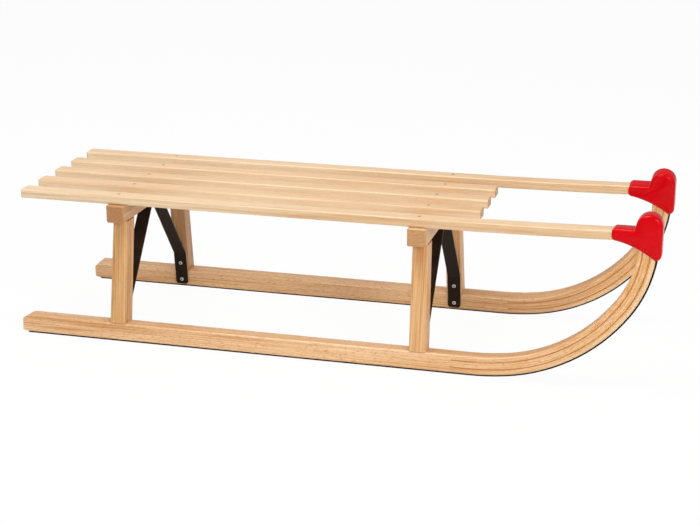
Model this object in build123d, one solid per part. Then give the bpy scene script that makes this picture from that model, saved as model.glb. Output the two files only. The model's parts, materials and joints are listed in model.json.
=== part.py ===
from build123d import *
import math
import os

# Wooden sled with bent runners, a slatted seat and moulded tip caps
# Millimetres, +X forward, +Y left, +Z up. The origin is on the ground below the middle of the sled.
# Places along the sled are given from the rear end of the runners, heights from the ground.

# Runners
runner_y = 158.3  # from the middle of the sled to the middle of a runner's sole
runner_cant = 4.6  # degrees that the runners lean inward at the top
runner_thickness = 32.0
runner_depth = 29.5  # wood only, without the sole strip
runner_edge_chamfer = 2.0
straight_length = 798.0  # from the rear end to the start of the bend, along the sole
bend_radius_1 = 450.0  # sole radii of the three arcs of the bend
bend_radius_2 = 287.0
bend_radius_3 = 206.0
bend_angle_1 = 7.9  # degrees that the first two arcs turn, and the third ends upright
bend_angle_2 = 47.0
tip_stock = 80.0  # upright length above the bend before the tip is cut
tip_cover = 1.5  # the tip is cut this far above the long rail that meets it
heel_top_length = 9.0  # slopes at the rear end
heel_top_height = 6.5
heel_low_length = 8.0
heel_low_height = 3.0

# Kerfs of the bend and the veneers glued into them
kerf_lead = 30.0  # how far behind the bend the kerfs start
kerf_width = 2.0
kerf_heights = [12.2, 24.5]  # middle of each kerf above the sole
glue_clearance = 0.1

# Steel sole strips
strip_width = 24.0
strip_thickness = 3.0
strip_start = 8.5

# Legs
leg_lean = 8.5  # degrees that the legs lean inward at the top
leg_thickness = 32.0
leg_foot_width = 28.6
leg_head_width = 26.4
leg_edge_radius = 2.5
rear_foot_x = 179.6
rear_rake = 2.3  # how far the head stands ahead of the foot
front_foot_back = 86.8  # from the start of the bend back to the front feet
front_rake = -2.7
foot_tenon_width = 16.0
foot_tenon_thickness = 12.0
foot_tenon_length = 18.0
head_tenon_width = 14.0
head_tenon_thickness = 16.0
head_tenon_length = 19.0
tenon_root = 8.0  # how far a tenon's stock runs into its leg
mortise_clearance = 0.15
mortise_relief = 1.0  # room left at the bottom of each mortise

# Crossbars
crossbar_length = 320.0
crossbar_width = 32.0
crossbar_depth = 31.0
crossbar_edge_radius = 3.0
crossbar_end_chamfer = 2.0
crossbar_shift = -3.4  # middle of the crossbar from the middle of the leg heads

# Seat
seat_underside = 243.0
slat_width = 30.0
slat_thickness = 15.3
slat_pitch = 69.2
slat_edge_radius = 3.0
slat_end_chamfer = 1.5
slat_corner_radius = 3.0  # seen from above
slat_rear = 1.3  # rear ends of all slats
slat_overhang = 88.0  # inner slats beyond the front leg heads
rail_spring_length = 340.0  # front part of the long rails that curves up to the tips
rail_spring_radius = 11500.0
rail_gap = 0.3  # between a rail's front end and the runner

# Straps
strap_width = 23.0
strap_thickness = 3.0
strap_shift = 0.5  # middle of the strap from the middle of the feet
strap_foot = 7.0  # lower end above the sole, up the runner's inner face
strap_knee = 39.5  # from the runner's top up to where the strap leaves the leg
strap_top_half = 24.0  # half of the flat under the crossbar
strap_bend_radius = 6.0
strap_end_radius = 4.5

# Caps
cap_front_wall = 4.4  # plastic ahead of the sole strip
cap_sleeve_length = 43.5  # along the rail, behind the runner
cap_top_wall = 2.8
cap_under_wall = 0.8  # below the rail where it enters the sleeve
cap_side_wall = 3.2
cap_clearance = 0.3
cap_bulb_radius = 21.4
cap_bulb_rise = 3.6  # middle of the bulb above the sleeve's top
cap_skirt = 28.6  # from the sleeve's underside down to the toe
cap_heel = 9.0  # flat part of the sleeve's underside
cap_arch = 4.0  # how far the underside arches up between heel and toe
cap_toe_width = 9.0
cap_end_radius = 8.5
cap_edge_chamfer = 3.2

# Worked out from the sizes above
cant = math.radians(runner_cant)
lean = math.radians(leg_lean)
ground_lift = strip_width / 2 * math.sin(cant)
runner_height = runner_depth + strip_thickness
front_foot_x = straight_length - front_foot_back
turn_1 = math.radians(bend_angle_1)
turn_2 = math.radians(bend_angle_1 + bend_angle_2)
centre_1 = (straight_length, bend_radius_1)
centre_2 = (
    centre_1[0] + (bend_radius_1 - bend_radius_2) * math.sin(turn_1),
    centre_1[1] - (bend_radius_1 - bend_radius_2) * math.cos(turn_1),
)
centre_3 = (
    centre_2[0] + (bend_radius_2 - bend_radius_3) * math.sin(turn_2),
    centre_2[1] - (bend_radius_2 - bend_radius_3) * math.cos(turn_2),
)
tip_x = centre_3[0] + bend_radius_3
cap_front_x = tip_x + cap_front_wall
rear_x = -cap_front_x / 2  # puts the origin below the middle of the sled
crossbar_underside = seat_underside - crossbar_depth
rail_end_x = tip_x - runner_height
spring_angle = math.asin(rail_spring_length / rail_spring_radius)
rail_rise = rail_spring_radius * (1 - math.cos(spring_angle))
mouth_angle = math.asin((rail_spring_length - cap_sleeve_length) / rail_spring_radius)
rail_fall = rail_spring_radius * (math.cos(mouth_angle) - math.cos(spring_angle))  # along the cap's sleeve
rail_top = seat_underside + rail_rise + slat_thickness
tip_z = rail_top + tip_cover

# Legs by name, with the middle of the foot and of the head
leg_places = {
    "rear": (rear_foot_x, rear_foot_x + rear_rake),
    "front": (front_foot_x, front_foot_x + front_rake),
}

# Right runner's plane: local x forward, local y up the leaning runner, local z outward
runner_plane = Plane(
    origin=(rear_x, -runner_y, ground_lift),
    x_dir=(1, 0, 0),
    z_dir=(0, -math.cos(cant), math.sin(cant)),
)


def up_runner(height):
    """Distance up the leaning runner for a height above the ground."""
    return (height - ground_lift) / math.cos(cant)


def both_ways(plane, outline, width):
    """A flat outline on a plane, extruded to a width centred on it."""
    return extrude(plane * outline, amount=width / 2, dir=plane.z_dir, both=True)


def cut_above(shape, height):
    """What lies below a height."""
    big = 2 * (cap_front_x + crossbar_length)
    return shape - Pos(0, 0, height + big / 2) * Box(big, big, big)


def bend_edges(depth, start):
    """The runner's line at a depth above the sole, from a start point to above the tip."""
    angle_3 = 90 - bend_angle_1 - bend_angle_2
    line_1 = Line((start, depth), (straight_length, depth))
    arc_1 = CenterArc(centre_1, bend_radius_1 - depth, 270, bend_angle_1)
    arc_2 = CenterArc(centre_2, bend_radius_2 - depth, 270 + bend_angle_1, bend_angle_2)
    arc_3 = CenterArc(centre_3, bend_radius_3 - depth, 360 - angle_3, angle_3)
    line_2 = Line((tip_x - depth, centre_3[1]), (tip_x - depth, centre_3[1] + tip_stock))
    return [line_1, arc_1, arc_2, arc_3, line_2]


def band(low, high, start, width, top):
    """A layer of the runner between two depths above the sole, cut off at a height."""
    lower = bend_edges(low, start)
    upper = bend_edges(high, start)
    rear = Line((start, low), (start, high))
    end = Line((tip_x - low, centre_3[1] + tip_stock), (tip_x - high, centre_3[1] + tip_stock))
    face = make_face(lower + upper + [rear, end])
    return cut_above(both_ways(runner_plane, face, width), top)


def runner_beam():
    """The bent beam: one section swept along the sole, cut level at the tip."""
    middle = strip_thickness + runner_depth / 2
    path = Wire([edge.edge() for edge in bend_edges(middle, 0)])
    section = Rectangle(runner_thickness, runner_depth)
    section = chamfer(section.vertices(), runner_edge_chamfer)
    start = Plane(origin=(0, middle, 0), x_dir=(0, 0, -1), z_dir=(1, 0, 0))
    return cut_above(runner_plane * sweep(start * section, path=path), tip_z)


def heel_cutter(length, height, edge, outward):
    """The wedge that slopes off one corner of the rear end."""
    tip = edge - outward * height
    outline = Polyline(
        (-length, tip - outward * height),
        (length, edge),
        (length, edge + outward * height),
        (-length, edge + outward * height),
        close=True,
    )
    return both_ways(runner_plane, make_face(outline), 3 * runner_thickness)


def leg_plane(foot_x):
    """Right leg's plane: origin at the middle of the foot, local y up the lean, local z outward."""
    outer = runner_plane.from_local_coords((foot_x, runner_height, runner_thickness / 2))
    half = leg_thickness / 2
    return Plane(
        origin=(outer.X, outer.Y + half * math.cos(lean), outer.Z - half * math.sin(lean)),
        x_dir=(1, 0, 0),
        z_dir=(0, -math.cos(lean), math.sin(lean)),
    )


def leg_reach(foot_x):
    """Length up the lean from the foot to the crossbar."""
    return (crossbar_underside - leg_plane(foot_x).origin.Z) / math.cos(lean)


def foot_tenon(foot_x, grow, relief):
    """The tenon under a leg, grown all round for its mortise."""
    low = -foot_tenon_length - relief
    block = Box(foot_tenon_width + 2 * grow, tenon_root - low, foot_tenon_thickness + 2 * grow)
    return leg_plane(foot_x) * Pos(0, (tenon_root + low) / 2, 0) * block


def head_tenon(foot_x, head_x, grow, relief):
    """The tenon on top of a leg, grown all round for its mortise."""
    reach = leg_reach(foot_x)
    low = reach - tenon_root
    high = reach + head_tenon_length + relief
    block = Box(head_tenon_width + 2 * grow, high - low, head_tenon_thickness + 2 * grow)
    return leg_plane(foot_x) * Pos(head_x - foot_x, (low + high) / 2, 0) * block


def make_leg(foot_x, head_x):
    """A tapered leg, shouldered on the runner and under the crossbar, with both tenons."""
    plane = leg_plane(foot_x)
    reach = leg_reach(foot_x)
    over = leg_thickness / 2
    taper = (leg_head_width - leg_foot_width) / 2 / reach
    drift = (head_x - foot_x) / reach

    def corner(side, height):
        return (side * (leg_foot_width / 2 + taper * height) + drift * height, height)

    low, high = -over, reach + over
    outline = Polyline(corner(-1, low), corner(1, low), corner(1, high), corner(-1, high), close=True)
    blank = both_ways(plane, make_face(outline), leg_thickness)
    blank = fillet([e for e in blank.edges() if e.length > reach], leg_edge_radius)
    runner_below = Box(4 * leg_foot_width, runner_height, 4 * leg_thickness)
    blank = blank - runner_plane * Pos(foot_x, runner_height / 2, 0) * runner_below
    blank = cut_above(blank, crossbar_underside)
    return blank + foot_tenon(foot_x, 0, 0) + head_tenon(foot_x, head_x, 0, 0)


def make_runner():
    """The right runner with its shaped heel, the kerfs of the bend and the mortises."""
    body = runner_beam()
    body = body - heel_cutter(heel_top_length, heel_top_height, runner_height, 1)
    body = body - heel_cutter(heel_low_length, heel_low_height, strip_thickness, -1)
    for height in kerf_heights:
        low = height - kerf_width / 2
        high = height + kerf_width / 2
        start = straight_length - kerf_lead
        body = body - band(low, high, start, 3 * runner_thickness, 2 * tip_z)
    for foot_x, head_x in leg_places.values():
        body = body - foot_tenon(foot_x, mortise_clearance, mortise_relief)
    return body


def make_veneers():
    """The veneers that fill the kerfs, flush with the runner's sides and tip."""
    half = kerf_width / 2 - glue_clearance
    start = straight_length - kerf_lead + glue_clearance
    layers = [band(height - half, height + half, start, runner_thickness, tip_z) for height in kerf_heights]
    return Compound(children=layers)


def make_shoe():
    """The steel strip under the runner, from the heel round the bend to the tip."""
    return band(0, strip_thickness, strip_start, strip_width, tip_z)


def rounded_bar(length, width, depth, radius, chamfer_size):
    """A bar along X with rounded long edges and chamfered ends."""
    bar = Box(length, width, depth)
    bar = fillet(bar.edges().filter_by(Axis.X), radius)
    ends = [e for e in bar.edges() if abs(abs(e.center().X) - length / 2) < 1e-6]
    return chamfer(ends, chamfer_size)


def make_crossbar(foot_x, head_x):
    """A crossbar with a slanted mortise near each end."""
    bar = rounded_bar(crossbar_length, crossbar_width, crossbar_depth, crossbar_edge_radius, crossbar_end_chamfer)
    middle = (rear_x + head_x + crossbar_shift, 0, seat_underside - crossbar_depth / 2)
    bar = Pos(middle) * Rot(0, 0, 90) * bar
    pocket = head_tenon(foot_x, head_x, mortise_clearance, mortise_relief)
    return bar - pocket - mirror(pocket, about=Plane.XZ)


def make_strap(foot_x):
    """A flat steel strap: up the inner faces of runner and leg, then in under the crossbar."""
    inner = -runner_thickness / 2
    foot = runner_plane.from_local_coords((0, strap_foot, inner))
    edge = leg_plane(0).from_local_coords((0, 0, -leg_thickness / 2))
    rise = edge.Y - foot.Y - math.tan(cant) * (edge.Z - foot.Z)
    bend_z = edge.Z - rise / (math.tan(lean) - math.tan(cant))
    bend_y = foot.Y + math.tan(cant) * (bend_z - foot.Z)
    knee_z = bend_z + strap_knee
    knee_y = bend_y + strap_knee * math.tan(lean)
    right = [(foot.Y, foot.Z), (bend_y, bend_z), (knee_y, knee_z), (-strap_top_half, crossbar_underside)]
    left = [(-y, z) for y, z in reversed(right)]
    line = FilletPolyline(*[Vector(y, z) for y, z in right + left], radius=strap_bend_radius)
    ribbon = offset(line, amount=strap_thickness, side=Side.RIGHT, kind=Kind.ARC)
    place = Plane(origin=(rear_x + foot_x + strap_shift, 0, 0), x_dir=(0, 1, 0), z_dir=(1, 0, 0))
    strap = both_ways(place, make_face(ribbon.edges()), strap_width)
    feet = [e for e in strap.edges() if e.center().Z < foot.Z + strap_thickness and e.length < strap_thickness + 0.1]
    return fillet(feet, strap_end_radius)


def slat_end_waste(x, y, turned):
    """What comes off a slat's end to round its corners and break its rims."""
    keep = extrude(RectangleRounded(slat_pitch, slat_width, slat_corner_radius), amount=slat_thickness / 2, both=True)
    keep = chamfer([e for e in keep.edges() if abs(e.center().Z) > 0.001], slat_end_chamfer)
    block = Box(2 * slat_corner_radius, 2 * slat_width, 2 * slat_thickness)
    waste = block - Pos(slat_pitch / 2, 0, 0) * keep
    return Pos(x, y, seat_underside + slat_thickness / 2) * Rot(0, 0, turned) * waste


def make_slat(y):
    """A straight inner slat."""
    rear = rear_x + slat_rear
    front = rear_x + leg_places["front"][1] + slat_overhang
    slat = fillet(Box(front - rear, slat_width, slat_thickness).edges().filter_by(Axis.X), slat_edge_radius)
    slat = Pos((rear + front) / 2, y, seat_underside + slat_thickness / 2) * slat
    return slat - slat_end_waste(rear, y, 0) - slat_end_waste(front, y, 180)


def rail_beam(grow, reach):
    """The right long rail, grown for a clearance, running a reach into the runner."""
    straight_end = rail_end_x - rail_spring_length
    sprung = math.degrees(math.asin((rail_spring_length + reach) / rail_spring_radius))
    line = Line((slat_rear, 0), (straight_end, 0))
    arc = CenterArc((straight_end, rail_spring_radius), rail_spring_radius, 270, sprung)
    path = Wire([line.edge(), arc.edge()])
    section = RectangleRounded(slat_width + 2 * grow, slat_thickness + 2 * grow, slat_edge_radius)
    start = Plane(origin=(slat_rear, 0, 0), x_dir=(0, 0, 1), z_dir=(1, 0, 0))
    place = Plane(
        origin=(rear_x, -2 * slat_pitch, seat_underside + slat_thickness / 2),
        x_dir=(1, 0, 0),
        z_dir=(0, -1, 0),
    )
    return place * sweep(start * section, path=path)


def make_rail():
    """A long outer slat, its front end coped against the runner."""
    beam = rail_beam(0, runner_height / 2)
    beam = beam - slat_end_waste(rear_x + slat_rear, -2 * slat_pitch, 0)
    return beam - band(-rail_gap, runner_height + rail_gap, straight_length / 2, 3 * runner_thickness, 2 * tip_z)


def make_cap():
    """A moulded cap: a sleeve on the rail, a round bulb, and a skirt over the runner tip."""
    sleeve_x = rail_end_x - cap_sleeve_length
    bulb_x = cap_front_x - cap_bulb_radius
    sleeve_top = up_runner(rail_top + cap_clearance + cap_top_wall)
    sleeve_low = up_runner(rail_top - slat_thickness - rail_fall - cap_clearance - cap_under_wall)
    bulb_y = sleeve_top + cap_bulb_rise
    toe_y = sleeve_low - cap_skirt
    heel = (sleeve_x + cap_heel, sleeve_low)
    toe = (cap_front_x - cap_toe_width, toe_y)
    arch = ((heel[0] + toe[0]) / 2, (heel[1] + toe[1]) / 2 + cap_arch)
    edges = [
        Line((bulb_x, sleeve_top), (sleeve_x, sleeve_top)),
        Line((sleeve_x, sleeve_top), (sleeve_x, sleeve_low)),
        Line((sleeve_x, sleeve_low), heel),
        ThreePointArc(heel, arch, toe),
        Line(toe, (cap_front_x, toe_y + cap_toe_width / 3)),
        Line((cap_front_x, toe_y + cap_toe_width / 3), (cap_front_x, bulb_y)),
        Line((cap_front_x, bulb_y), (bulb_x, bulb_y)),
        Line((bulb_x, bulb_y), (bulb_x, sleeve_top)),
    ]
    outline = make_face(edges) + Pos(bulb_x, bulb_y) * Circle(cap_bulb_radius)
    outline = fillet([v for v in outline.vertices() if v.X < sleeve_x + 1], cap_end_radius)
    width = runner_thickness + 2 * (cap_clearance + cap_side_wall)
    cap = both_ways(runner_plane, outline, width)
    half = width / 2
    rims = []
    for edge in cap.edges():
        local = runner_plane.to_local_coords(edge.center())
        if abs(abs(local.Z) - half) < 1e-4:
            rims.append(edge)
    cap = chamfer(rims, cap_edge_chamfer)
    room = runner_thickness + 2 * cap_clearance
    runner_room = band(-cap_clearance, runner_height + cap_clearance, straight_length / 2, room, tip_z + cap_clearance)
    return cap - runner_room - rail_beam(cap_clearance, runner_height / 3)


# The right side, then its mirror image, then what crosses the middle
nodes = {
    "runner_right": make_runner(),
    "veneers_right": make_veneers(),
    "shoe_right": make_shoe(),
    "rail_right": make_rail(),
    "cap_right": make_cap(),
}
for name, (foot_x, head_x) in leg_places.items():
    nodes["leg_" + name + "_right"] = make_leg(foot_x, head_x)
for name in list(nodes):
    nodes[name.replace("_right", "_left")] = mirror(nodes[name], about=Plane.XZ)
for name, (foot_x, head_x) in leg_places.items():
    nodes["crossbar_" + name] = make_crossbar(foot_x, head_x)
    nodes["strap_" + name] = make_strap(foot_x)
for name, row in {"left": 1, "centre": 0, "right": -1}.items():
    nodes["slat_" + name] = make_slat(row * slat_pitch)

os.makedirs("parts", exist_ok=True)
for name, shape in nodes.items():
    export_step(shape, f"parts/{name}.step")
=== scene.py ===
import json
import math

import bpy
from mathutils import Matrix, Vector


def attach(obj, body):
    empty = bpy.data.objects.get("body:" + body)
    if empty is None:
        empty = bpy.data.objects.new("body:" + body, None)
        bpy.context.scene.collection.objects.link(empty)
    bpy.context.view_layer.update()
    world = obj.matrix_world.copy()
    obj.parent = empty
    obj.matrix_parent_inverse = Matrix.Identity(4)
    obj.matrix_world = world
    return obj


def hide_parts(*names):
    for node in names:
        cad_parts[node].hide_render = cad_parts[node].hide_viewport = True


# Wooden sled: materials for the solids, moulded tip caps, screws, camera, light and floor
# Metres, +X forward, +Y left, +Z up. Sizes are written in millimetres and scaled by MM.

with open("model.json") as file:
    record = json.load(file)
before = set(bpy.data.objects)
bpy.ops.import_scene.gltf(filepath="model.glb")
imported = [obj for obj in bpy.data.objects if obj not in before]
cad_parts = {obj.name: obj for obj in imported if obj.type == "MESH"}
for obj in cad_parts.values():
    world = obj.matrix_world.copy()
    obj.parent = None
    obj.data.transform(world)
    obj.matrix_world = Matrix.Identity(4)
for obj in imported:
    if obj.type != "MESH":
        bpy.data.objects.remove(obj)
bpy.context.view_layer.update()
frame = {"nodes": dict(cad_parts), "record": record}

MM = 0.001
COLOUR_A, COLOUR_B = 6, 7  # the two colour sockets of a Mix node

# Sizes of the sled that the looks follow
rear_x = -548.54  # rear end of the runners
runner_y = 158.3  # middle of a runner's sole
ground_lift = 0.962  # rise of the sole's middle over its inner edge, which stands on the ground
cant = math.radians(4.6)  # inward lean of the runners
lean = math.radians(8.5)  # inward lean of the legs
straight_length = 798.0  # of the runners, from their rear end to the bend
runner_height = 32.5
runner_thickness = 32.0  # and that of the legs
strap_thickness = 3.0
seat_top = 258.3
slat_pitch = 69.2
crossbar_middles = {"rear": 178.5, "front": 705.1}  # from the rear end
strap_middles = {"rear": 180.1, "front": 711.7}

# Tangent arcs of the bend, on the runner's plane. Of each: its centre along the runner and above the
# sole, its radius at the sole, the angle where it starts and the length of the runner before it
bend_arcs = [(straight_length, 450.0, 450.0, 0.0, straight_length)]
for next_radius, degrees in ((287.0, 7.9), (206.0, 47.0)):
    centre_x, centre_z, radius, start, before = bend_arcs[-1]
    turn = math.radians(degrees)
    end = start + turn
    step = radius - next_radius
    centre_x, centre_z = centre_x + step * math.sin(end), centre_z - step * math.cos(end)
    bend_arcs.append((centre_x, centre_z, next_radius, end, before + radius * turn))


def linear(colour):
    """An sRGB hex colour turned to linear values."""
    parts = [int(colour[i:i + 2], 16) / 255 for i in (1, 3, 5)]
    parts = [c / 12.92 if c <= 0.04045 else ((c + 0.055) / 1.055) ** 2.4 for c in parts]
    return (*parts, 1.0)


def plug(tree, sockets, values):
    """Links or sets input sockets, each by its name or number."""
    for key, value in values.items():
        if isinstance(value, bpy.types.NodeSocket):
            tree.links.new(value, sockets[key])
        else:
            sockets[key].default_value = value


def node(tree, kind, inputs=None, ramp=None, **settings):
    """Adds a node with its settings, inputs and colour stops. Gives its first output in use."""
    made = tree.nodes.new(kind)
    for name, value in settings.items():
        setattr(made, name, value)
    plug(tree, made.inputs, inputs or {})
    if ramp:
        stops = made.color_ramp.elements
        while len(stops) < len(ramp):
            stops.new(1.0)
        for stop, (position, colour) in zip(stops, ramp):
            stop.position = position
            stop.color = linear(colour)
    return next(socket for socket in made.outputs if socket.enabled)


def new_material(name):
    """An empty node material, with its tree and shader."""
    material = bpy.data.materials.new(name)
    material.use_nodes = True
    tree = material.node_tree
    return material, tree, tree.nodes["Principled BSDF"]


def distance(tree, a, b):
    """The distance that two offsets at right angles make."""
    square = node(tree, "ShaderNodeMath", {0: a, 1: a}, operation="MULTIPLY")
    square = node(tree, "ShaderNodeMath", {0: b, 1: b, 2: square}, operation="MULTIPLY_ADD")
    return node(tree, "ShaderNodeMath", {0: square}, operation="SQRT")


def drawn_out(tree, axes, length, width, shift=0.0):
    """Place in a pattern that is so many millimetres long along the grain, and wide across it."""
    along, across, deep = axes
    per_length, per_width = 1 / (length * MM), 1 / (width * MM)
    return node(tree, "ShaderNodeCombineXYZ", {
        0: node(tree, "ShaderNodeMath", {0: along, 1: per_length, 2: shift}, operation="MULTIPLY_ADD"),
        1: node(tree, "ShaderNodeMath", {0: across, 1: per_width, 2: shift}, operation="MULTIPLY_ADD"),
        2: node(tree, "ShaderNodeMath", {0: deep, 1: per_width}, operation="MULTIPLY"),
    })


def bend_coordinates(tree, x, y, z):
    """Length along the runner, height above its sole and place across it, also round the bend."""
    side = node(tree, "ShaderNodeMath", {0: y}, operation="ABSOLUTE")
    across = node(tree, "ShaderNodeMath", {0: side, 1: runner_y * MM}, operation="SUBTRACT")
    up = node(tree, "ShaderNodeMath", {0: z, 1: ground_lift * MM}, operation="SUBTRACT")
    tilt = node(tree, "ShaderNodeMath", {0: across, 1: -math.sin(cant)}, operation="MULTIPLY")
    rise = node(tree, "ShaderNodeMath", {0: up, 1: math.cos(cant), 2: tilt}, operation="MULTIPLY_ADD")
    forward = node(tree, "ShaderNodeMath", {0: x, 1: rear_x * MM}, operation="SUBTRACT")
    along, height = forward, rise
    for centre_x, centre_z, radius, start, before in bend_arcs:
        dx = node(tree, "ShaderNodeMath", {0: forward, 1: centre_x * MM}, operation="SUBTRACT")
        dz = node(tree, "ShaderNodeMath", {0: centre_z * MM, 1: rise}, operation="SUBTRACT")
        angle = node(tree, "ShaderNodeMath", {0: dx, 1: dz}, operation="ARCTAN2")
        on_arc = node(tree, "ShaderNodeMath", {0: angle, 1: start}, operation="GREATER_THAN")
        arc_height = node(tree, "ShaderNodeMath", {
            0: radius * MM, 1: distance(tree, dx, dz)}, operation="SUBTRACT")
        arc_along = node(tree, "ShaderNodeMath", {
            0: angle, 1: radius * MM, 2: (before - radius * start) * MM}, operation="MULTIPLY_ADD")
        height = node(tree, "ShaderNodeMix", {
            "Factor": on_arc, "A": height, "B": arc_height}, data_type="FLOAT")
        along = node(tree, "ShaderNodeMix", {
            "Factor": on_arc, "A": along, "B": arc_along}, data_type="FLOAT")
    return along, height, across


def bent_lamination(tree, axes, body):
    """Orange-brown strips that grow stronger up the runner's bend, and a pale one beside the sole."""
    along, height, _ = axes
    bend_from, bend_full = 740 * MM, 1120 * MM
    bent = node(tree, "ShaderNodeMapRange", {
        "Value": along, "From Min": bend_from, "From Max": bend_full, "To Min": 0.12})
    # Sharp streaks, about 150 mm long and 1.9 mm wide
    strips = node(tree, "ShaderNodeTexNoise", {
        "Vector": drawn_out(tree, axes, 150, 1.9, shift=4.0),
        "Scale": 1.0, "Detail": 4.0, "Roughness": 0.6})
    strips = node(tree, "ShaderNodeMapRange", {
        "Value": strips, "From Min": 0.47, "From Max": 0.64, "To Max": 0.9})
    sole_strip = node(tree, "ShaderNodeMapRange", {
        "Value": height, "From Min": 10.5 * MM, "From Max": 7.5 * MM, "To Max": 0.55})
    even_share = 0.28  # of the warm tone that lies under the strips
    for share, colour in ((strips, "#cd8436"), (even_share, "#e3a65e"), (sole_strip, "#f0d2a6")):
        share = node(tree, "ShaderNodeMath", {0: bent, 1: share}, operation="MULTIPLY")
        body = node(tree, "ShaderNodeMix", {
            "Factor": share, COLOUR_A: body, COLOUR_B: linear(colour)}, data_type="RGBA")
    return body


def beech(name, tones, piece, rings, flecks, streaks, painted_sides=None, shift=0.0):
    """Beech under a satin lacquer: lengthwise streaks, faint rings, ray flecks, darker end grain.

    The tones are the light, middle and dark of the long faces, and the dark of the end grain. Rings
    are the millimetres between year rings, and flecks and streaks say how strongly each shows. The
    painted sides, a rear and a front tone, are painted light and shade mixed into the upright side
    faces.
    """
    light, mid, dark, end_dark = tones
    material, tree, shader = new_material(name)
    place = node(tree, "ShaderNodeTexCoord").node.outputs
    x, y, z = node(tree, "ShaderNodeSeparateXYZ", {0: place["Object"]}).node.outputs
    if piece == "runner":
        axes, end_axis = bend_coordinates(tree, x, y, z), "X"
    elif piece == "leg":
        # The grain follows the leg's inward lean
        side = node(tree, "ShaderNodeMath", {0: y}, operation="ABSOLUTE")
        deep = node(tree, "ShaderNodeMath", {0: z, 1: math.tan(lean), 2: side}, operation="MULTIPLY_ADD")
        axes, end_axis = (z, x, deep), "Z"
    elif piece == "crossbar":
        axes, end_axis = (y, x, z), "Y"
    else:
        axes, end_axis = (x, y, z), "X"
    along, across, deep = axes

    # Slow change of tone along and between boards, about 420 mm by 26 mm
    slow = node(tree, "ShaderNodeTexNoise", {
        "Vector": drawn_out(tree, axes, 420, 26, shift), "Scale": 1.0, "Detail": 2.0})
    # Streaks of the vessels, about 170 mm by 2.1 mm, wider than the real ones so that they show
    streak = node(tree, "ShaderNodeTexNoise", {
        "Vector": drawn_out(tree, axes, 170, 2.1, shift),
        "Scale": 1.0, "Detail": 5.0, "Roughness": 0.62})
    # Ray flecks, about 7.5 mm by 1.15 mm, also drawn coarser than the real ones
    fleck = node(tree, "ShaderNodeTexNoise", {
        "Vector": drawn_out(tree, axes, 7.5, 1.15, shift), "Scale": 1.0, "Detail": 1.5})
    fleck = node(tree, "ShaderNodeMapRange", {
        "Value": fleck, "From Min": 0.56, "From Max": 0.70, "To Max": flecks})
    # Year rings of a log whose heart lies beside and below the board, bent by the slow noise
    heart_beside, heart_below, wander, ring_share = 55 * MM, 370 * MM, 30 * MM, 0.22
    beside = node(tree, "ShaderNodeMath", {0: across, 1: heart_beside}, operation="ADD")
    below = node(tree, "ShaderNodeMath", {0: deep, 1: heart_below}, operation="ADD")
    reach = node(tree, "ShaderNodeMath", {
        0: slow, 1: wander, 2: distance(tree, beside, below)}, operation="MULTIPLY_ADD")
    turns = node(tree, "ShaderNodeMath", {0: reach, 1: 2 * math.pi / (rings * MM)}, operation="MULTIPLY")
    ring = node(tree, "ShaderNodeMath", {0: turns}, operation="SINE")
    ring = node(tree, "ShaderNodeMapRange", {"Value": ring, "From Min": 0.1, "To Max": ring_share})

    # Stronger streaks spread the tint about its middle
    tint = node(tree, "ShaderNodeMath", {
        0: slow, 1: 0.5, 2: 0.5 - 0.5 * streaks}, operation="MULTIPLY_ADD")
    tint = node(tree, "ShaderNodeMath", {0: streak, 1: streaks, 2: tint}, operation="MULTIPLY_ADD")
    body = node(tree, "ShaderNodeValToRGB", {0: tint}, ramp=[(0.42, light), (0.78, mid), (1.0, dark)])
    for share, tone in ((ring, mid), (fleck, dark)):
        body = node(tree, "ShaderNodeMix", {
            "Factor": share, COLOUR_A: body, COLOUR_B: linear(tone)}, data_type="RGBA")
    if piece == "runner":
        body = bent_lamination(tree, axes, body)

    facing = node(tree, "ShaderNodeSeparateXYZ", {0: place["Normal"]}).node.outputs
    if painted_sides:
        # Painted light and shade on the upright side faces, which changes from the rear half to the
        # front one
        level = node(tree, "ShaderNodeMath", {0: facing["Z"]}, operation="ABSOLUTE")
        upright = node(tree, "ShaderNodeMapRange", {
            "Value": level, "From Min": 0.8, "From Max": 0.3, "To Max": 0.33})
        half = node(tree, "ShaderNodeMapRange", {
            "Value": along, "From Min": -200 * MM, "From Max": 20 * MM})
        rear_painted_side, front_painted_side = painted_sides
        painted_side_tone = node(tree, "ShaderNodeMix", {
            "Factor": half, COLOUR_A: linear(rear_painted_side), COLOUR_B: linear(front_painted_side)}, data_type="RGBA")
        body = node(tree, "ShaderNodeMix", {
            "Factor": upright, COLOUR_A: body, COLOUR_B: painted_side_tone}, data_type="RGBA")
    # End grain where the surface faces along the grain, on the runners only at the heel
    turned = node(tree, "ShaderNodeMath", {0: facing[end_axis]}, operation="ABSOLUTE")
    ends = node(tree, "ShaderNodeMapRange", {"Value": turned, "From Min": 0.55, "From Max": 0.8})
    if piece == "runner":
        heel = node(tree, "ShaderNodeMath", {0: along, 1: 20 * MM}, operation="LESS_THAN")
        ends = node(tree, "ShaderNodeMath", {0: ends, 1: heel}, operation="MULTIPLY")
    # Pores of the end grain, drawn 1.2 mm wide to show
    pores = node(tree, "ShaderNodeTexNoise", {
        "Vector": drawn_out(tree, axes, 1.2, 1.2, shift), "Scale": 1.0, "Detail": 3.0})
    pores = node(tree, "ShaderNodeMath", {0: pores, 1: 0.6, 2: ring}, operation="MULTIPLY_ADD")
    end_tone = node(tree, "ShaderNodeValToRGB", {0: pores}, ramp=[(0.2, end_dark), (0.75, dark)])
    body = node(tree, "ShaderNodeMix", {
        "Factor": ends, COLOUR_A: body, COLOUR_B: end_tone}, data_type="RGBA")

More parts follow.
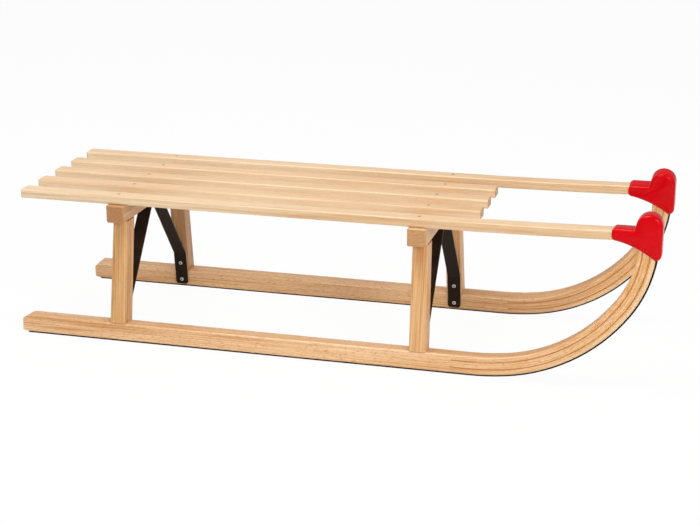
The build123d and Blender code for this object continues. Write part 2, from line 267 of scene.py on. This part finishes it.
    relief = node(tree, "ShaderNodeMath", {0: streak, 1: 0.7, 2: fleck}, operation="MULTIPLY_ADD")
    plug(tree, shader.inputs, {
        "Base Color": body,
        "Roughness": node(tree, "ShaderNodeMapRange", {
            "Value": streak, "From Min": 0.3, "From Max": 0.7, "To Min": 0.36, "To Max": 0.50}),
        "Normal": node(tree, "ShaderNodeBump", {
            "Height": relief, "Strength": 0.25, "Distance": 0.2 * MM}),
        "IOR": 1.5,
        "Coat Weight": 0.18,
        "Coat Roughness": 0.28,
    })
    return material


def glue_veneer(name):
    """Thin veneer between two glue lines: a brown line that fades in and out along the bend."""
    material, tree, shader = new_material(name)
    place = node(tree, "ShaderNodeTexCoord").node.outputs
    x, y, z = node(tree, "ShaderNodeSeparateXYZ", {0: place["Object"]}).node.outputs
    axes = bend_coordinates(tree, x, y, z)
    fade = node(tree, "ShaderNodeTexNoise", {
        "Vector": drawn_out(tree, axes, 60, 9), "Scale": 1.0, "Detail": 3.0})
    fine = node(tree, "ShaderNodeTexNoise", {
        "Vector": drawn_out(tree, axes, 35, 0.7), "Scale": 1.0, "Detail": 3.0})
    both = node(tree, "ShaderNodeMath", {0: fade, 1: 0.6, 2: fine}, operation="MULTIPLY_ADD")
    colour = node(tree, "ShaderNodeValToRGB", {0: both}, ramp=[
        (0.55, "#9c5c26"), (0.85, "#bd7c3c"), (1.0, "#d6a062")])
    # On the left runner the first 43 mm of the layers are as pale as the wood, and barely show
    along, pale_end = axes[0], 811 * MM
    left = node(tree, "ShaderNodeMath", {0: y, 1: 0.0}, operation="GREATER_THAN")
    early = node(tree, "ShaderNodeMath", {0: along, 1: pale_end}, operation="LESS_THAN")
    early = node(tree, "ShaderNodeMath", {0: early, 1: left}, operation="MULTIPLY")
    plug(tree, shader.inputs, {
        "Base Color": node(tree, "ShaderNodeMix", {
            "Factor": early, COLOUR_A: colour, COLOUR_B: linear("#e8bd8e")}, data_type="RGBA"),
        "Roughness": node(tree, "ShaderNodeMapRange", {
            "Value": fine, "From Min": 0.3, "From Max": 0.7, "To Min": 0.4, "To Max": 0.55}),
        "IOR": 1.5,
        "Coat Weight": 0.15,
        "Coat Roughness": 0.3,
    })
    return material


def painted_steel(name):
    """Black stoving paint on flat steel: low satin, faintly brown clouds and a fine orange peel."""
    material, tree, shader = new_material(name)
    place = node(tree, "ShaderNodeTexCoord").node.outputs["Object"]
    cloud_size, peel_size = 28 * MM, 1.3 * MM
    cloud = node(tree, "ShaderNodeTexNoise", {"Vector": place, "Scale": 1 / cloud_size, "Detail": 4.0})
    peel = node(tree, "ShaderNodeTexNoise", {"Vector": place, "Scale": 1 / peel_size, "Detail": 2.0})
    plug(tree, shader.inputs, {
        "Base Color": node(tree, "ShaderNodeValToRGB", {0: cloud}, ramp=[
            (0.3, "#231913"), (0.6, "#2a1e16"), (0.8, "#36281e")]),
        "Roughness": node(tree, "ShaderNodeMapRange", {
            "Value": cloud, "From Min": 0.3, "From Max": 0.7, "To Min": 0.34, "To Max": 0.5}),
        "Normal": node(tree, "ShaderNodeBump", {
            "Height": peel, "Strength": 0.2, "Distance": 0.1 * MM}),
        "IOR": 1.5,
        "Specular IOR Level": 0.08,
    })
    return material


def sole_steel(name):
    """Drawn steel strip: dark scale, with bright lengthwise scratches where the sole slides."""
    material, tree, shader = new_material(name)
    place = node(tree, "ShaderNodeTexCoord").node.outputs["Object"]
    x, y, z = node(tree, "ShaderNodeSeparateXYZ", {0: place}).node.outputs
    axes = bend_coordinates(tree, x, y, z)
    along, _, across = axes
    scratch = node(tree, "ShaderNodeTexNoise", {
        "Vector": drawn_out(tree, axes, 120, 0.8), "Scale": 1.0, "Detail": 4.0})
    rust_size = 14 * MM
    rust = node(tree, "ShaderNodeTexNoise", {"Vector": place, "Scale": 1 / rust_size, "Detail": 5.0})
    # Worn bright on the middle 14 mm of its width, less towards its edges and not off the ground
    middle = node(tree, "ShaderNodeMath", {0: across}, operation="ABSOLUTE")
    worn = node(tree, "ShaderNodeMapRange", {
        "Value": middle, "From Min": 10.8 * MM, "From Max": 7.0 * MM, "To Max": 0.75})
    grounded = node(tree, "ShaderNodeMapRange", {
        "Value": along, "From Min": 830 * MM, "From Max": 930 * MM, "To Min": 1.0, "To Max": 0.0})
    worn = node(tree, "ShaderNodeMath", {0: worn, 1: grounded}, operation="MULTIPLY")
    worn = node(tree, "ShaderNodeMath", {0: worn, 1: scratch}, operation="MULTIPLY")
    dull = node(tree, "ShaderNodeValToRGB", {0: rust}, ramp=[(0.35, "#0c0a09"), (0.7, "#181310")])
    bright = node(tree, "ShaderNodeValToRGB", {0: scratch}, ramp=[(0.3, "#6a655f"), (0.7, "#9b958c")])
    plug(tree, shader.inputs, {
        "Base Color": node(tree, "ShaderNodeMix", {
            "Factor": worn, COLOUR_A: dull, COLOUR_B: bright}, data_type="RGBA"),
        "Metallic": node(tree, "ShaderNodeMapRange", {
            "Value": worn, "From Min": 0.05, "From Max": 0.3, "To Max": 0.9}),
        "Roughness": node(tree, "ShaderNodeMapRange", {
            "Value": scratch, "From Min": 0.3, "From Max": 0.7, "To Min": 0.36, "To Max": 0.56}),
        "Normal": node(tree, "ShaderNodeBump", {
            "Height": scratch, "Strength": 0.15, "Distance": 0.2 * MM}),
        "Specular IOR Level": 0.12,
    })
    return material


def moulded_plastic(name):
    """Glossy injection-moulded polyethylene: deep even red, faint flow marks, soft highlights."""
    material, tree, shader = new_material(name)
    place = node(tree, "ShaderNodeTexCoord").node.outputs["Object"]
    flow_size, grit_size = 22 * MM, 0.9 * MM
    flow = node(tree, "ShaderNodeTexNoise", {"Vector": place, "Scale": 1 / flow_size, "Detail": 3.0})
    grit = node(tree, "ShaderNodeTexNoise", {"Vector": place, "Scale": 1 / grit_size, "Detail": 2.0})
    plug(tree, shader.inputs, {
        "Base Color": node(tree, "ShaderNodeValToRGB", {0: flow}, ramp=[
            (0.3, "#c60009"), (0.7, "#d0000d")]),
        "Roughness": node(tree, "ShaderNodeMapRange", {
            "Value": flow, "From Min": 0.3, "From Max": 0.7, "To Min": 0.12, "To Max": 0.17}),
        "Normal": node(tree, "ShaderNodeBump", {
            "Height": grit, "Strength": 0.12, "Distance": 0.1 * MM}),
        "IOR": 1.51,
        "Specular IOR Level": 0.12,
    })
    return material


def zinc(name, low, high, metallic):
    """Zinc plating of the screws: light metal with a patchy bloom, or painted shade in their recesses.
    """
    material, tree, shader = new_material(name)
    place = node(tree, "ShaderNodeTexCoord").node.outputs["Object"]
    bloom_size = 2.5 * MM
    bloom = node(tree, "ShaderNodeTexNoise", {"Vector": place, "Scale": 1 / bloom_size, "Detail": 3.0})
    plug(tree, shader.inputs, {
        "Base Color": node(tree, "ShaderNodeValToRGB", {0: bloom}, ramp=[(0.35, low), (0.65, high)]),
        "Roughness": node(tree, "ShaderNodeMapRange", {
            "Value": bloom, "From Min": 0.3, "From Max": 0.7, "To Min": 0.28, "To Max": 0.42}),
        "Metallic": metallic,
    })
    return material


# One finish for each kind of piece, own boards for the rails, darker tones for the rear pieces, and
# painted shade that darkens the left rear leg further
slat_beech = beech(
    # The last tone, the dark of the end grain, is partly real end grain and partly painted shade on the
    # front ends
    "lacquered_beech_slats", ("#eed0ae", "#e2bc92", "#c99865", "#b98d5e"), "slat",
    # Side tones: painted light that makes the side faces paler
    rings=4.2, flecks=0.35, streaks=1.15, painted_sides=("#fae6c6", "#f4dab4"))
rail_beech = beech(
    "lacquered_beech_rails", ("#efd6b6", "#e4c39b", "#c89763", "#cda273"), "slat",
    # Side tones: painted light on the rear half of the side faces, painted shade on the front half
    rings=4.2, flecks=0.35, streaks=1.3, painted_sides=("#fae6c6", "#cf9f68"), shift=2.7)
runner_beech = beech(
    "lacquered_beech_runners", ("#f5d3a9", "#e5b888", "#bf8246", "#c7935e"), "runner",
    rings=5.0, flecks=0.9, streaks=1.35)
front_leg_beech = beech(
    "lacquered_beech_front_legs", ("#ebc593", "#daa76e", "#b9793b", "#c08c58"), "leg",
    rings=4.6, flecks=0.25, streaks=1.6)
rear_leg_beech = beech(
    "lacquered_beech_rear_legs", ("#e6ba85", "#ce9a5e", "#a86b31", "#a97848"), "leg",
    rings=4.6, flecks=0.3, streaks=1.8)
# The left rear leg is darker still: painted shade of the seat over it
painted_shade_leg_beech = beech(
    "lacquered_beech_left_rear_leg_painted_shade", ("#d4a776", "#be8b56", "#98622c", "#a07040"), "leg",
    rings=4.6, flecks=0.3, streaks=1.8, shift=1.3)
front_bar_beech = beech(
    "lacquered_beech_front_crossbar", ("#e2b684", "#d1a06a", "#ab743d", "#c99965"), "crossbar",
    rings=4.6, flecks=0.4, streaks=1.6)
rear_bar_beech = beech(
    "lacquered_beech_rear_crossbar", ("#d4a574", "#c28f5c", "#9a6532", "#ba8351"), "crossbar",
    rings=4.6, flecks=0.4, streaks=1.6)
finishes = {
    "beech_slat": slat_beech,
    "beech_runner": runner_beech,
    "beech_leg": front_leg_beech,
    "beech_crossbar": front_bar_beech,
    "dark_veneer": glue_veneer("glued_veneer"),
    "black_steel": painted_steel("black_stoved_steel"),
    "sole_steel": sole_steel("drawn_sole_steel"),
    "red_plastic": moulded_plastic("moulded_red_polyethylene"),
}
own_boards = {
    "leg_rear_right": rear_leg_beech,
    "leg_rear_left": painted_shade_leg_beech,
    "crossbar_rear": rear_bar_beech,
    "rail_right": rail_beech,
    "rail_left": rail_beech,
}
for row in frame["record"]["subparts"]:
    solid = frame["nodes"][row["node"]]
    solid.data.materials.clear()
    solid.data.materials.append(own_boards.get(row["node"], finishes[row["material_slot"]]))


def deselect():
    """Nothing selected and object mode, before a new piece is modelled."""
    if bpy.context.object and bpy.context.object.mode != "OBJECT":
        bpy.ops.object.mode_set(mode="OBJECT")
    bpy.ops.object.select_all(action="DESELECT")


def only(piece):
    """Makes one piece the selected and active one."""
    deselect()
    piece.select_set(True)
    bpy.context.view_layer.objects.active = piece


def copied(piece, name):
    """A copy of a piece with a mesh of its own."""
    only(piece)
    bpy.ops.object.duplicate()
    copy = bpy.context.object
    copy.name = name
    return copy


def settle(piece):
    """Puts the piece's place, turn and size into its mesh."""
    only(piece)
    bpy.ops.object.transform_apply(location=True, rotation=True, scale=True)


def apply_modifier(piece, kind, **settings):
    """Adds a modifier with its settings and applies it."""
    only(piece)
    modifier = piece.modifiers.new(kind.lower(), kind)
    for name, value in settings.items():
        setattr(modifier, name, value)
    bpy.ops.object.modifier_apply(modifier=modifier.name)


def smooth_up_to(piece, degrees):
    """Shades the piece smooth, but for edges sharper than an angle."""
    only(piece)
    bpy.ops.object.shade_smooth_by_angle(angle=math.radians(degrees))


def dress(piece, *materials):
    """Gives the piece these materials and no others."""
    piece.data.materials.clear()
    for material in materials:
        piece.data.materials.append(material)


def join_in(piece, body):
    """The piece rides on a body."""
    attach(piece, body)


# Tip caps, drawn on the upright runner's plane: x from the rear end, z up from the sole
cap_width = 39.0
cap_back, cap_front = 1016.7, 1097.05
cap_top, cap_low, cap_toe = 265.9, 244.8, 216.2
bulb_x, bulb_z, bulb_radius = 1075.65, 269.5, 21.4
cap_rim_width = 7.0


def outline_arc(centre_x, centre_z, radius, start, end, steps):
    """Points of an arc in the cap's outline, from one angle to another in degrees."""
    angles = [math.radians(start + (end - start) * i / steps) for i in range(steps + 1)]
    return [(centre_x + radius * math.cos(a), centre_z + radius * math.sin(a)) for a in angles]


def cap_outline():
    """The cap's side view, anticlockwise: bulb, notch, sleeve, arched underside, toe and front."""
    notch_radius, mouth_radius = 3.5, 8.5
    arch_inset, arch_rise, arch_steps, toe_rise = 9.0, 4.0, 14, 3.0
    # The notch between bulb and sleeve is rounded by an arc that touches both
    notch_z = cap_top + notch_radius
    reach = bulb_radius + notch_radius
    dip = math.asin((bulb_z - notch_z) / reach)
    notch_x = bulb_x - reach * math.cos(dip)
    dip = math.degrees(dip)
    bulb = outline_arc(bulb_x, bulb_z, bulb_radius, 0, 180 + dip, 40)
    notch = outline_arc(notch_x, notch_z, notch_radius, dip, -90, 8)[1:]
    mouth_x = cap_back + mouth_radius
    upper_lip = outline_arc(mouth_x, cap_top - mouth_radius, mouth_radius, 90, 180, 9)
    lower_lip = outline_arc(mouth_x, cap_low + mouth_radius, mouth_radius, 180, 270, 9)
    arch = []
    for i in range(arch_steps + 1):
        share = i / arch_steps
        x = cap_back + arch_inset + (cap_front - cap_back - 2 * arch_inset) * share
        chord = cap_low + (cap_toe - cap_low) * share
        arch.append((x, chord + arch_rise * 4 * share * (1 - share)))
    return bulb + notch + upper_lip + lower_lip + arch + [(cap_front, cap_toe + toe_rise)]


def faces_outward(piece):
    """Turns all faces of a closed piece outward."""
    only(piece)
    bpy.ops.object.mode_set(mode="EDIT")
    bpy.ops.mesh.select_all(action="SELECT")
    bpy.ops.mesh.normals_make_consistent(inside=False)
    bpy.ops.object.mode_set(mode="OBJECT")


def tip_cap():
    """A tip cap as moulded: its outline filled, extruded across the runner, and its rims rounded."""
    outline = cap_outline()
    deselect()
    bpy.ops.mesh.primitive_circle_add(vertices=len(outline), radius=bulb_radius * MM)
    cap = bpy.context.object
    settle(cap)
    for vertex, (x, z) in zip(cap.data.vertices, outline):
        vertex.co = Vector((x, -cap_width / 2, z)) * MM
    bpy.ops.object.mode_set(mode="EDIT")
    bpy.ops.mesh.select_all(action="SELECT")
    bpy.ops.mesh.edge_face_add()
    bpy.ops.mesh.extrude_region_move(TRANSFORM_OT_translate={"value": (0, cap_width * MM, 0)})
    faces_outward(cap)
    apply_modifier(
        cap, "BEVEL", width=cap_rim_width * MM, segments=9,
        limit_method="ANGLE", angle_limit=math.radians(62), use_clamp_overlap=False)
    smooth_up_to(cap, 32)
    return cap


# The right runner's plane: local X forward, local Z up the lean, local Y inward
runner_foot = Matrix.Translation(Vector((rear_x, -runner_y, ground_lift)) * MM)
right_cap = tip_cap()
right_cap.name = "tip_cap_right"
right_cap.data.transform(runner_foot @ Matrix.Rotation(-cant, 4, "X"))
dress(right_cap, finishes["red_plastic"])
left_cap = copied(right_cap, "tip_cap_left")
left_cap.data.transform(Matrix.Scale(-1, 4, (0, 1, 0)))
faces_outward(left_cap)
for piece, replaced in ((right_cap, "cap_right"), (left_cap, "cap_left")):
    join_in(piece, "root")
    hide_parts(replaced)


def screw_head(name, radius, height, plate, recess_shade):
    """A raised screw head with a cross recess darkened by painted shade, its seat at the origin, its
    crown along +Z.
    """
    deselect()
    bpy.ops.mesh.primitive_cylinder_add(vertices=32, radius=radius * MM, depth=2 * height * MM)
    head = bpy.context.object
    head.name = name
    settle(head)
    apply_modifier(
        head, "BEVEL", width=0.8 * height * MM, segments=3,
        limit_method="ANGLE", angle_limit=math.radians(60))
    slot_size = Vector((1.25 * radius, 0.44 * radius, 1.6 * height)) * MM
    for turn in (0, math.pi / 2):
        deselect()
        bpy.ops.mesh.primitive_cube_add(
            size=1, location=(0, 0, height * MM), rotation=(0, 0, turn), scale=slot_size)
        slot_cutter = bpy.context.object
        settle(slot_cutter)
        apply_modifier(head, "BOOLEAN", object=slot_cutter, operation="DIFFERENCE", solver="EXACT")
        bpy.data.objects.remove(slot_cutter)
    dress(head, plate, recess_shade)
    # The recess's own faces lie inside the crown and below its flat top, and take the painted shade
    for face in head.data.polygons:
        inside_crown = face.center.xy.length < 0.72 * radius * MM
        below_top = face.center.z < 0.97 * height * MM
        face.material_index = int(inside_crown and below_top)
    smooth_up_to(head, 35)
    return head


def place_copies(head, places):
    """A copy of a screw head at each named place, by its point, direction and turn; the head goes."""
    for name, point, direction, turn in places:
        piece = copied(head, name)
        stand = Vector(direction).normalized().to_track_quat("Z", "Y").to_matrix().to_4x4()
        spot = Matrix.Translation(Vector(point) * MM)
        piece.data.transform(spot @ stand @ Matrix.Rotation(turn, 4, "Z"))
        join_in(piece, "root")
    bpy.data.objects.remove(head)


# Seat screws, one where each slat crosses a crossbar, each driven to its own angle
seat_places = []
for end, middle in crossbar_middles.items():
    for number in range(1, 6):
        point = (rear_x + middle, (number - 3) * slat_pitch, seat_top)
        turn = math.radians((37 * number + (50 if end == "front" else 0)) % 90)
        seat_places.append((f"seat_screw_{end}_{number}", point, (0, 0, 1), turn))
yellow_zinc = zinc("yellow_zinc_screws", "#bfa175", "#d4b88b", metallic=0.4)
# Painted shade in the seat screws' cross recesses
painted_shade_seat_recess = zinc("painted_shade_seat_screw_recess", "#6d5b42", "#85704f", metallic=0.0)
seat_screw = screw_head("seat_screw", 3.2, 0.35, yellow_zinc, painted_shade_seat_recess)
place_copies(seat_screw, seat_places)


def up_the_lean(y, z, angle, rise, inward):
    """A point so far up a leaning piece and inward from there: its y and z on the left side."""
    return (y - rise * math.sin(angle) - inward * math.cos(angle),
            z + rise * math.cos(angle) - inward * math.sin(angle))


# Strap screws, one into the runner and one into the leg at each foot of each strap
half_wood = runner_thickness / 2
strap_face = half_wood + strap_thickness
low_rise, high_rise = 16.0, 20.0
runner_point = up_the_lean(runner_y, ground_lift, cant, low_rise, strap_face)
runner_corner = up_the_lean(runner_y, ground_lift, cant, runner_height, -half_wood)
leg_point = up_the_lean(*runner_corner, lean, high_rise, half_wood + strap_face)
strap_places = []
for end, middle in strap_middles.items():
    for side, sign in (("right", -1), ("left", 1)):
        for level, (y, z), angle, turn in (
                ("low", runner_point, cant, 0.4), ("high", leg_point, lean, 0.9)):
            point = (rear_x + middle, sign * y, z)
            direction = (0, -sign * math.cos(angle), -math.sin(angle))
            strap_places.append((f"strap_screw_{end}_{side}_{level}", point, direction, turn))
bright_zinc = zinc("bright_zinc_screws", "#cfcfcb", "#efefeb", metallic=0.35)
# Painted shade in the strap screws' cross recesses
painted_shade_strap_recess = zinc("painted_shade_strap_screw_recess", "#1d1b18", "#2c2924", metallic=0.0)
strap_screw = screw_head("strap_screw", 3.4, 1.0, bright_zinc, painted_shade_strap_recess)
place_copies(strap_screw, strap_places)

# Floor: pale paper that the camera sees as nearly white, with a trace of the sled's soft shadow
camera_white = 0.95
deselect()
bpy.ops.mesh.primitive_plane_add(size=16, location=(0, 0, 0))
floor = bpy.context.object
floor.name = "studio_floor"
paper, tree, shader = new_material("pale_studio_paper")
plug(tree, shader.inputs, {
    "Base Color": linear("#eeeeec"), "Roughness": 0.9, "Specular IOR Level": 0.1})
glow = node(tree, "ShaderNodeEmission", {"Color": linear("#ffffff"), "Strength": 1.0})
to_camera = node(tree, "ShaderNodeLightPath").node.outputs["Is Camera Ray"]
share = node(tree, "ShaderNodeMath", {0: to_camera, 1: camera_white}, operation="MULTIPLY")
mixed = node(tree, "ShaderNodeMixShader", {0: share, 1: shader.outputs[0], 2: glow})
tree.links.new(mixed, tree.nodes["Material Output"].inputs["Surface"])
dress(floor, paper)

# World: soft white light from all round, dimmer behind the sled, and plain white to the camera
front_strength, behind_strength = 0.42, 0.26
world = bpy.data.worlds.new("soft_white_room")
bpy.context.scene.world = world
world.use_nodes = True
sky = world.node_tree
way = node(sky, "ShaderNodeSeparateXYZ", {0: node(sky, "ShaderNodeTexCoord")}).node.outputs["Y"]
strength = node(sky, "ShaderNodeMapRange", {
    "Value": way, "From Min": -0.1, "From Max": 0.8,
    "To Min": front_strength, "To Max": behind_strength})
to_camera = node(sky, "ShaderNodeLightPath").node.outputs["Is Camera Ray"]
strength = node(sky, "ShaderNodeMix", {"Factor": to_camera, "A": strength, "B": 1.0}, data_type="FLOAT")
plug(sky, sky.nodes["Background"].inputs, {"Color": linear("#ffffff"), "Strength": strength})

# Square softboxes, aimed at the middle of the sled: place and width in metres, and watts
lamp_target = Vector((0, 0, 0.1))
for name, place, width, watts in (
        ("overhead_softbox", (-0.3, -0.4, 2.6), 1.3, 43),
        ("front_right_softbox", (2.2, -2.4, 1.8), 1.2, 54),
        ("rear_left_fill", (-1.8, 2.3, 2.6), 1.6, 13)):
    data = bpy.data.lights.new(name, "AREA")
    data.size = width
    data.energy = watts
    lamp = bpy.data.objects.new(name, data)
    bpy.context.scene.collection.objects.link(lamp)
    lamp.location = place
    lamp.rotation_euler = (lamp_target - Vector(place)).to_track_quat("-Z", "Y").to_euler()

# Camera at the photograph's angle: 15 degrees forward of the right side, 18 degrees down
azimuth, elevation = math.radians(14.96), math.radians(17.96)
camera_distance = 2.781
aim = Vector((rear_x + 550.9, 0.0, 123.04)) * MM
focal_pixels, photo_width, sensor_width = 1580, 700, 36
level_reach = math.cos(elevation)
way_out = Vector((
    math.sin(azimuth) * level_reach, -math.cos(azimuth) * level_reach, math.sin(elevation)))
camera_data = bpy.data.cameras.new("photo_camera")
camera_data.sensor_width = sensor_width
camera_data.lens = sensor_width * focal_pixels / photo_width
camera = bpy.data.objects.new("photo_camera", camera_data)
bpy.context.scene.collection.objects.link(camera)
camera.location = aim + way_out * camera_distance
camera.rotation_euler = (-way_out).to_track_quat("-Z", "Y").to_euler()
bpy.context.scene.camera = camera
bpy.context.scene.view_settings.view_transform = "Standard"
